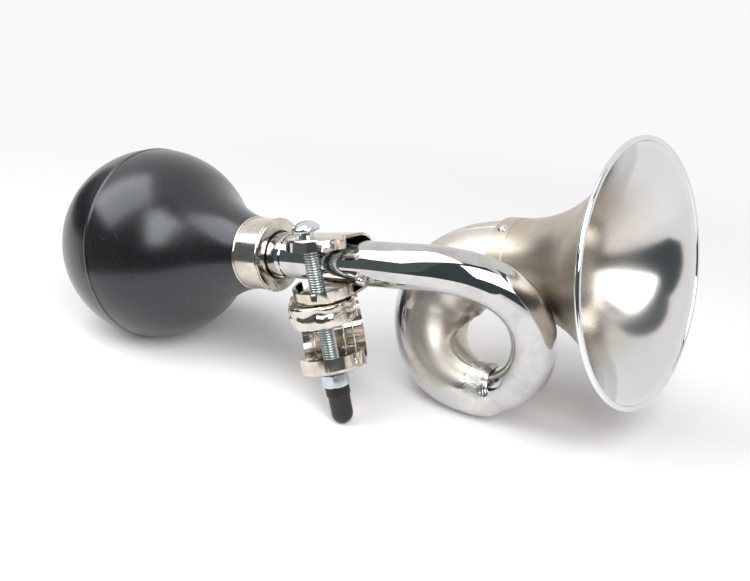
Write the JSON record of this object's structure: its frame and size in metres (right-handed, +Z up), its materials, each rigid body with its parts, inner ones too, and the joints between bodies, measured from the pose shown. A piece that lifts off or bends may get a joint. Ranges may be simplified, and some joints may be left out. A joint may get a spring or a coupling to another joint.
{
  "type": "bicycle horn",
  "caption": "Squeeze-bulb bicycle horn: rubber bulb, reed, looped chromed tube, flared bell, and a two-strap screw clamp for the handlebar.",
  "frame": {"origin": "middle of the floor outline of the horn lying at rest, on the floor", "axes": "+X towards the bell, along the horn's length; +Y away from the clamp screw's side; +Z up"},
  "size_m": [0.2043, 0.1116, 0.0973],
  "materials": {
    "bulb_rubber": "satin moulded black rubber",
    "nickel_bright": "bright nickel plate",
    "nickel_satin": "satin nickel plate",
    "chrome_tube": "polished chrome plate",
    "braze": "rough plated braze",
    "reed_brass": "plain brass",
    "zinc_plate": "bright zinc plate",
    "cap_plastic": "soft black plastic"
  },
  "bodies": {
    "horn": {"tube": "chrome_tube", "braze_ring": "braze", "loop_shell_near": "nickel_satin", "loop_shell_far": "nickel_satin", "bell": "nickel_satin", "bell_rivets": "nickel_bright", "stop_stud": "chrome_tube", "sleeve": "chrome_tube", "reed_holder": "reed_brass", "reed_block": "reed_brass", "reed_wedge": "reed_brass"},
    "reed": {"reed_tongue": "reed_brass"},
    "bulb": {"bulb_front": "bulb_rubber", "ferrule": "nickel_bright"},
    "bulb_rear": {"bulb_back": "bulb_rubber"},
    "upper_strap": {"tube_strap": "nickel_bright"},
    "lower_strap": {"handlebar_strap": "nickel_bright"},
    "screw": {"clamp_screw": "zinc_plate"},
    "nut": {"clamp_nut": "zinc_plate"},
    "cap": {"screw_cap": "cap_plastic"}
  },
  "joints": [
    {"name": "bulb_turn", "type": "hinge", "parent": "horn", "child": "bulb", "pos_m": [-0.06915, -0.02277, 0.033], "axis": [0.9815, 0, 0.1913], "continuous": true},
    {"name": "bulb_squeeze", "type": "slide", "parent": "bulb", "child": "bulb_rear", "axis": [0.9815, 0, 0.1913], "range_m": [0, 0.02], "stiffness_N_per_m": 1500, "springref_m": -0.001, "deforming": ["bulb_front"]},
    {"name": "reed_beat", "type": "hinge", "parent": "horn", "child": "reed", "pos_m": [-0.0236, -0.02276, 0.04234], "axis": [0.0039, 0.9998, -0.0202], "range_deg": [-1.5, 2.5], "stiffness_Nm_per_rad": 0.02},
    {"name": "clamp_on_tube", "type": "hinge", "parent": "horn", "child": "upper_strap", "pos_m": [0.0078, -0.02277, 0.048], "axis": [0.9815, 0, 0.1913], "range_deg": [-170, 20]},
    {"name": "screw_turn", "type": "hinge", "parent": "upper_strap", "child": "screw", "pos_m": [0.00786, -0.03377, 0.0477], "axis": [-0.2928, -0.0281, 0.9558], "continuous": true},
    {"name": "lower_strap_swivel", "type": "hinge", "parent": "upper_strap", "child": "lower_strap", "pos_m": [0.00786, -0.03377, 0.0477], "axis": [-0.2928, -0.0281, 0.9558], "range_deg": [-15, 120]},
    {"name": "nut_turn", "type": "hinge", "parent": "screw", "child": "nut", "pos_m": [0.01757, -0.03283, 0.01602], "axis": [-0.2928, -0.0281, 0.9558], "continuous": true},
    {"name": "cap_pull", "type": "slide", "parent": "screw", "child": "cap", "axis": [0.2928, 0.0281, -0.9558], "range_m": [0, 0.012]}
  ]
}
